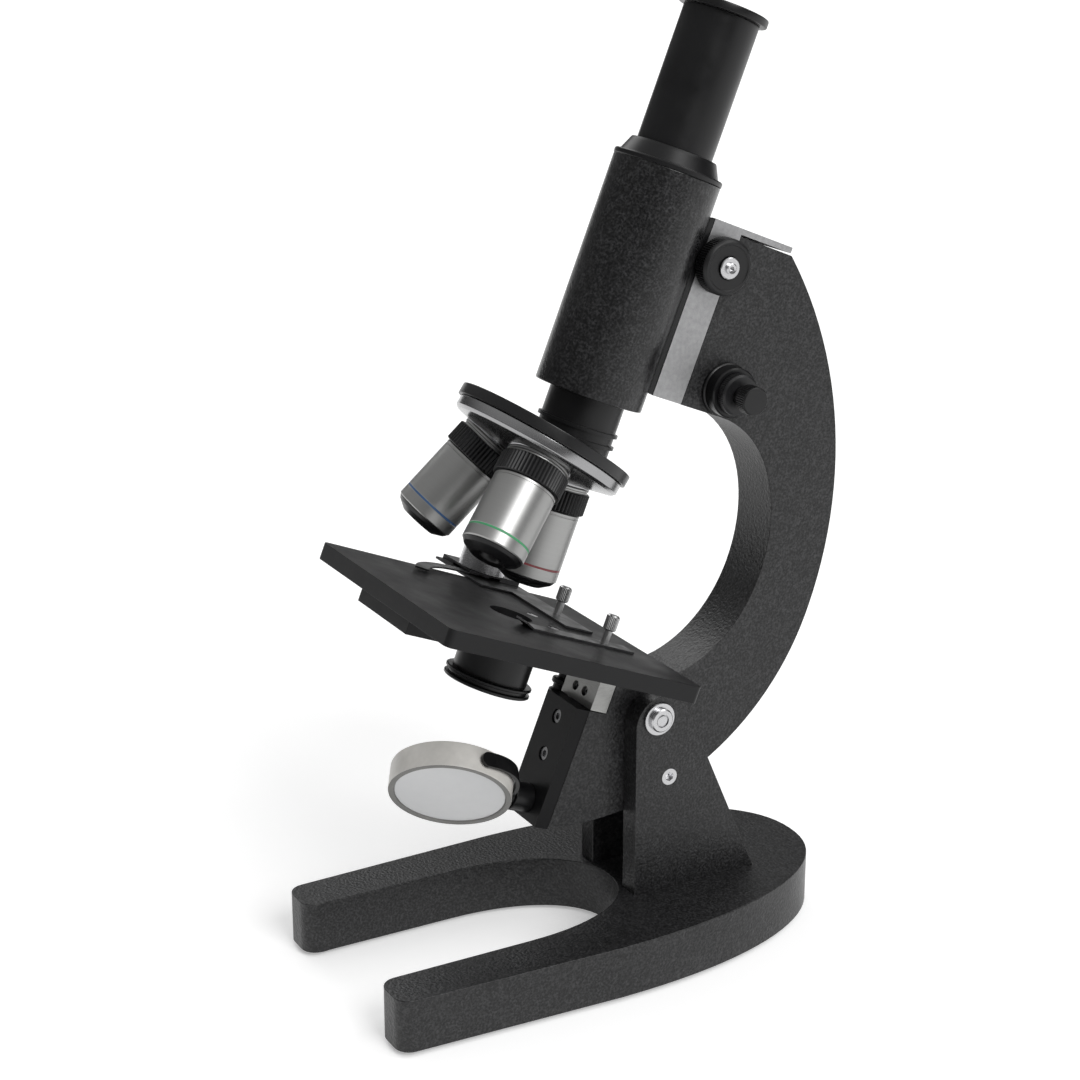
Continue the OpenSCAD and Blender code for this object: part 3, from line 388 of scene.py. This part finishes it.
def refine(node, mats, width, segments=2, angle=28, subdiv=False):
    """A copy of a CAD node with its flat faces merged and its edges rounded, in place of the node."""
    src = nodes[node]
    bm = bmesh.new()
    bm.from_mesh(src.data)
    bmesh.ops.remove_doubles(bm, verts=bm.verts, dist=1e-6)
    bmesh.ops.dissolve_limit(bm, angle_limit=math.radians(0.6), verts=bm.verts, edges=bm.edges)
    bmesh.ops.recalc_face_normals(bm, faces=bm.faces)
    me = bpy.data.meshes.new(node + "_fine")
    bm.to_mesh(me)
    bm.free()
    me.polygons.foreach_set("material_index", [0] * len(me.polygons))
    obj = bpy.data.objects.new(node + "_fine", me)
    bpy.context.scene.collection.objects.link(obj)
    if width:
        mod = obj.modifiers.new("edge", "BEVEL")
        mod.width = width * MM
        mod.segments = segments
        mod.limit_method = "ANGLE"
        mod.angle_limit = math.radians(angle)
        mod.use_clamp_overlap = True
        mod.miter_outer = "MITER_ARC"
        bpy.context.view_layer.update()
        new = bpy.data.meshes.new_from_object(obj.evaluated_get(bpy.context.evaluated_depsgraph_get()))
        obj.modifiers.clear()
        obj.data = new
        new.name = node + "_fine"
    return finish_mesh(obj, body_of(src)[0], mats, node, 34)


def paint(node, mat):
    me = nodes[node].data
    me.materials.clear()
    me.materials.append(mat)


def ring_profile(ro, ri, z0, z1, c=0.3, m=0):
    """A ring's section with its outer corners eased."""
    return [(ri, z0, m), (ro - c, z0, m), (ro - c * 0.3, z0 + c * 0.3, m), (ro, z0 + c, m), (ro, z1 - c, m),
            (ro - c * 0.3, z1 - c * 0.3, m), (ro - c, z1, m), (ri, z1, m)]


def knurled(ro, ri, z0, z1, c, m=0):
    """A knurled wheel's section: ridges on the wall, eased rims."""
    return [(ri, z0, m), (ro - c - 0.3, z0, m), (ro - 0.15, z0 + c, m), (ro, z0 + c + 0.05, m, 1), (ro, z1 - c - 0.05, m, 1),
            (ro - 0.15, z1 - c, m), (ro - c - 0.3, z1, m), (ri, z1, m)]


# ---- base and pillar ----
refine("base", ENAMEL, 1.5, 4)
refine("pillar_left", ENAMEL, 0.9, 3)
refine("pillar_right", ENAMEL, 0.9, 3)
refine("arm", ENAMEL, 0.9, 3)
paint("pillar_screws", STEEL)
for i, (x, y) in enumerate(((0, 0), (40.95, -177.5), (-40.95, -177.5))):
    lathe(f"foot_{i}", "stand", T(x, y, 0), [(0, 0), (5.7, 0), (6.4, 0.35), (6.5, 0.8), (6.5, 4), (0, 4)], RUBBER,
          "rubber_feet" if i == 0 else (), 48, closed=False)
lathe("washer_near", "stand", BOLT @ T(0, 0, 20.1), ring_profile(6.4, 4.05, 0.02, 1.2, 0.35), STEEL, "tilt_washers")
lathe("washer_far", "stand", BOLT @ T(0, 0, -21.3), ring_profile(6.4, 4.05, 0.0, 1.18, 0.35), STEEL)
lathe("bolt_end", "stand", BOLT, [(0, -26.9), (3.6, -26.9), (4, -26.5), (4, 21.3), (4.6, 21.35), (4.6, 22.7), (4.1, 23.2),
      (2.6, 23.2), (2.6, 22.3), (2.2, 22.3), (2.2, 22.9), (1.7, 23.1), (0, 23.1)], STEEL, "tilt_bolt", 64, closed=False)
refine("tilt_nut", STEEL, 0.5, 2)
refine("tilt_lock_screw", STEEL, 0.25, 2)

# ---- focus ----
refine("carriage", BLAST, 0.45, 2)
refine("tube_slide", BLACK, 0.35, 2)
paint("rack", STEEL)
paint("pinion_shaft", STEEL)
for s, name in ((1, "right"), (-1, "left")):
    side = PINION if s > 0 else PINION @ rot("X", 180)
    face = [(2.45, 18.2), (2.45, 12), (9.2, 12), (10.1, 12.7), (10.25, 12.75), (10.4, 12.8, 0, 1), (10.4, 17.6, 0, 1),
            (10.25, 17.7), (9.9, 18.3), (9.2, 18.8), (8.4, 18.8), (8.1, 18.5), (4.4, 18.5), (4.1, 18.2)]
    lathe(f"coarse_{name}", "pinion", side, face, KNURL, f"coarse_knob_{name}", knurl=(12.7, 17.7, 72, 0.28))
    lathe(f"coarse_screw_{name}", "pinion", side, [(0, 19.4), (0.9, 19.4), (0.9, 20.6), (1.7, 20.8), (2.1, 20.5), (2.1, 19.8),
          (3.7, 19.8), (4, 19.5), (4, 18.82), (1.2, 18.82), (1.2, 13), (0, 13)], STEEL,
          "coarse_knob_screws" if s > 0 else (), 48, closed=False)
lathe("fine_flange", "arm", FINE, [(3.05, 11.2), (9.4, 11.2), (10, 11.5), (10, 12.4), (9.7, 12.7), (9.45, 12.8), (9.4, 13.3), (9.4, 17.6),
      (8.9, 18.2), (3.05, 18.2)], BLACK, "fine_bush", 72)
lathe("fine_index", "fine_knob", FINE, [(2.05, 18.4), (7.1, 18.4), (7.65, 18.5), (7.8, 18.6, 0, 1), (7.8, 21.6, 0, 1), (7.65, 21.7),
      (7.0, 22.4), (3.9, 22.4), (3.6, 22.2), (2.05, 22.2)], DRUM, "fine_drum", knurl=(18.6, 21.6, 60, 0.16))
lathe("fine_grip", "fine_knob", FINE, [(2.05, 22.5), (3.6, 22.5), (3.6, 25.7), (4.8, 25.8), (5.2, 26.1), (5.3, 26.2, 0, 1), (5.3, 31.1, 0, 1),
      (5.2, 31.2), (4.8, 31.65), (0, 31.7), (0, 30), (2.05, 30)], KNURL, "fine_knob", knurl=(26.1, 31.1, 40, 0.25))
paint("fine_spindle", STEEL)

# ---- tube and eyepiece ----
lathe("tube_body", "tube", TUBE, [(12.05, 106), (19.5, 106), (19.85, 106.15), (20, 106.5), (20, 189.9), (19.85, 190.2), (19.6, 190.3),
      (17.6, 190.3), (17.6, 109), (12.05, 109)], TUBE_ENAMEL, "body_tube", 160)
lathe("tube_collar", "tube", TUBE, [(14.05, 184.4), (17.5, 184.4), (17.5, 190.32), (20, 190.32), (20.2, 190.5), (20.2, 191.9), (19.8, 192.3),
      (18.5, 192.4), (18.2, 192.9), (16.4, 196.7), (16.1, 197.3), (15.8, 197.8), (15.3, 197.9), (14.05, 197.9)], BLACK, "tube_cap", 128)
lathe("eye_tube", "tube", TUBE, ring_profile(14, 11.65, 168.3, 247.5, 0.3), BLACK, "eyepiece_tube", 128)
lathe("eye_barrel", "eyepiece", TUBE, ring_profile(11.6, 10.25, 213.5, 247.45, 0.2), POLISHED, "eyepiece_barrel", 96)
lathe("eye_cup", "eyepiece", TUBE, [(9.05, 247.5), (15.9, 247.5), (16.4, 247.75), (16.5, 248.1), (16.5, 250.0), (16.3, 250.4), (15.8, 250.6),
      (10, 250.6), (9.4, 250.5), (5.3, 249.75), (5, 249.5), (9.05, 249.5)], BLACK, "eyepiece_cap", 128)
lathe("eye_glass", "eyepiece", TUBE, [(0, 247.6), (9, 247.6), (9, 248.9), (6, 249.2), (3, 249.4), (0, 249.45)], GLASS, "eye_lens", 64, closed=False)
lathe("field_glass", "eyepiece", TUBE, [(0, 214.6), (5, 214.8), (10.1, 215.6), (10.1, 217.8), (0, 217.9)], GLASS, "field_lens", 64, closed=False)
paint("field_stop", BLACK)
refine("nose_tube", BLACK, 0.25, 2)

# ---- nosepiece ----
lathe("nose_plate", "tube", NOSE, [(3.05, -57.3), (33.75, -57.3), (33.95, -57.22), (34, -57.05), (34, -53.55), (33.9, -53.3), (33.6, -53.2),
      (3.05, -53.2)], PLATE, "nosepiece_plate", 160)
lathe("nose_turret", "nosepiece", NOSE, [(3.05, -57.5), (32.3, -57.5), (32.6, -57.6), (32.7, -57.9), (32.7, -60.8), (32.55, -61.15),
      (31.7, -61.95), (31.3, -62.1), (5.5, -68.5), (3.05, -68.5)], POLISHED, "turret", 160)
lathe("nose_screw", "tube", NOSE, [(0, -53.2), (3, -53.2), (3, -68.55), (3.7, -68.6), (4, -68.9), (4, -70.1), (3.6, -70.5), (0, -70.55)],
      STEEL, "turret_screw", 48, closed=False)
for i, name in enumerate(("low", "mid", "high")):
    seat = LENS[i]
    lathe(f"{name}_seat", "nosepiece", seat, [(10.15, -63.0), (12.2, -63.0), (12.2, -67.3), (11.95, -67.58), (10.15, -67.58)], POLISHED, (), 96)
    lathe(f"{name}_barrel", "nosepiece", seat, [(8.6, -63.2), (10.1, -63.2), (10.1, -67.6), (11.6, -67.6), (11.9, -67.9), (11.9, -68.5),
          (11.5, -68.8), (11.5, -69.2), (11.7, -69.5), (10.4, -69.5), (10.4, -77.7), (11.4, -77.7), (11.7, -78), (11.7, -78.8),
          (11.5, -78.9), (11.5, -79.15), (11.7, -79.25), (11.7, -98.5),
          (11.62, -98.6, 1), (11.62, -99.35), (11.7, -99.45), (11.7, -103.3), (11.3, -103.7), (10.2, -103.72), (10.2, -102), (8.6, -102)],
          [BARREL, BAND[i]], f"{name}_objective", 128)
    lathe(f"{name}_grip", "nosepiece", seat, [(10.45, -69.55), (12.2, -69.55), (12.6, -69.75), (12.65, -69.8), (12.8, -69.9, 0, 1),
          (12.8, -77.2, 0, 1), (12.65, -77.3), (12.5, -77.45), (12.1, -77.6), (10.45, -77.6)], KNURL, f"{name}_collar",
          knurl=(-77.25, -69.85, 54, 0.55))
    lathe(f"{name}_nose", "nosepiece", seat, [(10.2, -103.74), (11.1, -103.74), (11.2, -103.9), (10.4, -105), (10.1, -105.2), (6.9, -107.05),
          (6.3, -107.1), (5.6, -106.6), (4.2, -106.4), (3.6, -105.6), (3.2, -104.2), (2.9, -104.2), (2.9, -103), (10.2, -103)], BLACK,
          f"{name}_lens", 96)
    lathe(f"{name}_glass", "nosepiece", seat, [(0, -104.9), (1.6, -104.75), (2.85, -104.3), (2.85, -103.2), (0, -103.2)], GLASS, (), 48, closed=False)

# ---- stage ----
refine("stage", STAGE, 0.6, 3)
refine("stage_rib", STAGE, 0.6, 2)
refine("stage_bracket", MILLED, 0.35, 2)
refine("stage_screws", DARK_STEEL, 0.12, 1)
refine("arm_screws", DARK_STEEL, 0.15, 1)
for i, x in enumerate((-17.5, 17.5)):
    lathe(f"clip_stud_{i}", "arm", LEAN @ T(x, -33.3, 0), [(0, 11.5), (1.5, 11.5), (1.5, 27.4), (2.1, 27.7), (2.3, 27.9), (2.5, 28.0, 0, 1),
          (2.5, 32.9, 0, 1), (2.3, 33.0), (2.0, 33.4), (1.2, 33.5), (0, 33.5)], STUD, "clip_pins" if i == 0 else (),
          knurl=(27.95, 32.95, 24, 0.22), closed=False)
refine("stage_clip", SPRING, 0.15, 2)
refine("slide_holder", SPRING, 0.15, 2)
refine("holder_finger", SPRING, 0.12, 2)
lathe("holder_button", "holder_finger", LEAN @ T(-59.6, -45, 0), [(0, 21.9), (1.5, 21.9), (1.5, 24.5), (9.1, 24.5), (9.5, 24.9), (9.5, 32.9),
      (9.1, 33.4), (8.4, 33.5), (8.0, 33.3), (0, 33.3)], STEEL, "holder_knob", 96, closed=False)
lathe("thumb_head", "thumbscrew", LEAN @ T(-15.8, -21.2, 0), [(0, -7.8), (3.9, -7.8), (4.4, -7.4), (4.5, -7.1), (4.5, -5.9), (4.1, -5.5),
      (3.4, -5.4), (3.4, -3.3), (4.1, -3.2), (4.5, -2.8), (4.5, -1.4), (4.1, -0.9), (2.6, -0.8), (2.6, 9.4), (1.5, 9.5), (1.5, 13), (0, 13)],
      BLACK, "stage_thumbscrew", 64, closed=False)
lathe("condenser", "arm", TUBE, [(11.1, 15.2), (13.05, 15.2), (13.05, 9.55), (14.1, 9.5), (14.1, -2.0), (16.0, -2.1), (16.4, -2.4), (16.4, -3.1),
      (16.0, -3.4), (15.2, -3.5), (15.2, -4.6), (16.0, -4.7), (16.4, -5.0), (16.4, -5.7), (16.0, -6.05), (11.6, -6.1), (11.1, -5.6)],
      BLACK, "condenser_tube", 128)
lathe("condenser_glass", "arm", TUBE, [(0, 10.7), (6, 10.9), (11, 11.6), (11, 14.2), (0, 14.3)], GLASS, "condenser_lens", 64, closed=False)

# ---- tail and mirror ----
refine("tail_bar", BAR, 0.45, 2)
refine("mirror_stem", BLACK, 0.4, 2)
refine("mirror_fork", BLACK, 0.25, 2)
# Profile points marked 1 are the ring's rim faces, which get the darker grey of painted shade; the outer wall keeps the
# housing grey
lathe("mirror_ring", "mirror", MIRROR, [(20.5, -2.6, 1), (20.5, -4.7, 1), (20.8, -5.1, 1), (22.2, -5.1, 1), (22.65, -4.95), (22.8, -4.5), (22.8, 4.5),
      (22.65, 4.95, 1), (22.2, 5.1, 1), (20.8, 5.1, 1), (20.5, 4.7, 1), (20.5, 2.6), (0, 2.6), (0, -2.6)], [HOUSING, RIM_PAINTED_SHADE], "mirror_housing", 160)
lathe("mirror_flat", "mirror", MIRROR, [(0, -2.65), (20.4, -2.65), (20.4, -4.5), (20.2, -4.6), (0, -4.6)], SILVER, "mirror_glass", 128, closed=False)
lathe("mirror_hollow", "mirror", MIRROR, [(0, 2.65), (20.4, 2.65), (20.4, 4.5), (20.2, 4.6), (15, 3.9), (10, 3.4), (5, 3.1), (0, 3.0)], SILVER,
      (), 128, closed=False)

# ---- floor, light, camera ----
bm = bmesh.new()
bmesh.ops.create_grid(bm, x_segments=8, y_segments=8, size=14)
me = bpy.data.meshes.new("floor")
bm.to_mesh(me)
bm.free()
floor = bpy.data.objects.new("floor", me)
bpy.context.scene.collection.objects.link(floor)
fm, ft, fb = new_material("floor_white", Roughness=0.85, Specular_IOR_Level=0.1)
ft.links.new(ramp(ft, noise(ft, 3, 2), [(0.3, 0.88), (0.7, 0.90)]), fb.inputs["Base Color"])
fb.inputs["Emission Color"].default_value = (1, 1, 1, 1)
fb.inputs["Emission Strength"].default_value = 0.33
me.materials.append(fm)

# A sky that is dark at the horizon and light overhead, and one very wide soft lamp from the right.
world = bpy.data.worlds.new("world")
bpy.context.scene.world = world
world.use_nodes = True
wt = world.node_tree
sky = add(wt, "ShaderNodeSeparateXYZ")
wt.links.new(add(wt, "ShaderNodeTexCoord").outputs["Generated"], sky.inputs[0])
wt.links.new(ramp(wt, sky.outputs["Z"], [(0.0, 0.07), (0.25, 0.10), (0.6, 0.42), (1.0, 0.62)]),
             wt.nodes["Background"].inputs["Color"])


def sun(name, azimuth, elevation, width, strength):
    """azimuth from -Y towards +X, both in degrees; width is the light's angular size."""
    data = bpy.data.lights.new(name, "SUN")
    data.energy = strength
    data.angle = math.radians(width)
    o = bpy.data.objects.new(name, data)
    bpy.context.scene.collection.objects.link(o)
    a, e = math.radians(azimuth), math.radians(elevation)
    way = Vector((math.sin(a) * math.cos(e), -math.cos(a) * math.cos(e), math.sin(e)))
    o.location = way * 2
    o.rotation_euler = (-way).to_track_quat("-Z", "Y").to_euler()


sun("key", 94, 38, 30, 1.6)
sun("rim", 150, 50, 30, 0.55)
sun("left", -92, 34, 36, 0.55)

cam_data = bpy.data.cameras.new("camera")
cam_data.lens = 76.11
cam_data.sensor_width = 36
cam_data.clip_start = 0.01
cam = bpy.data.objects.new("camera", cam_data)
bpy.context.scene.collection.objects.link(cam)
cam.location = (0.6851, -0.4837, 0.4278)
cam.rotation_euler = (Vector((0, -0.1024, 0.1643)) - Vector(cam.location)).to_track_quat("-Z", "Y").to_euler()
bpy.context.scene.camera = cam
bpy.context.scene.view_settings.view_transform = "Standard"
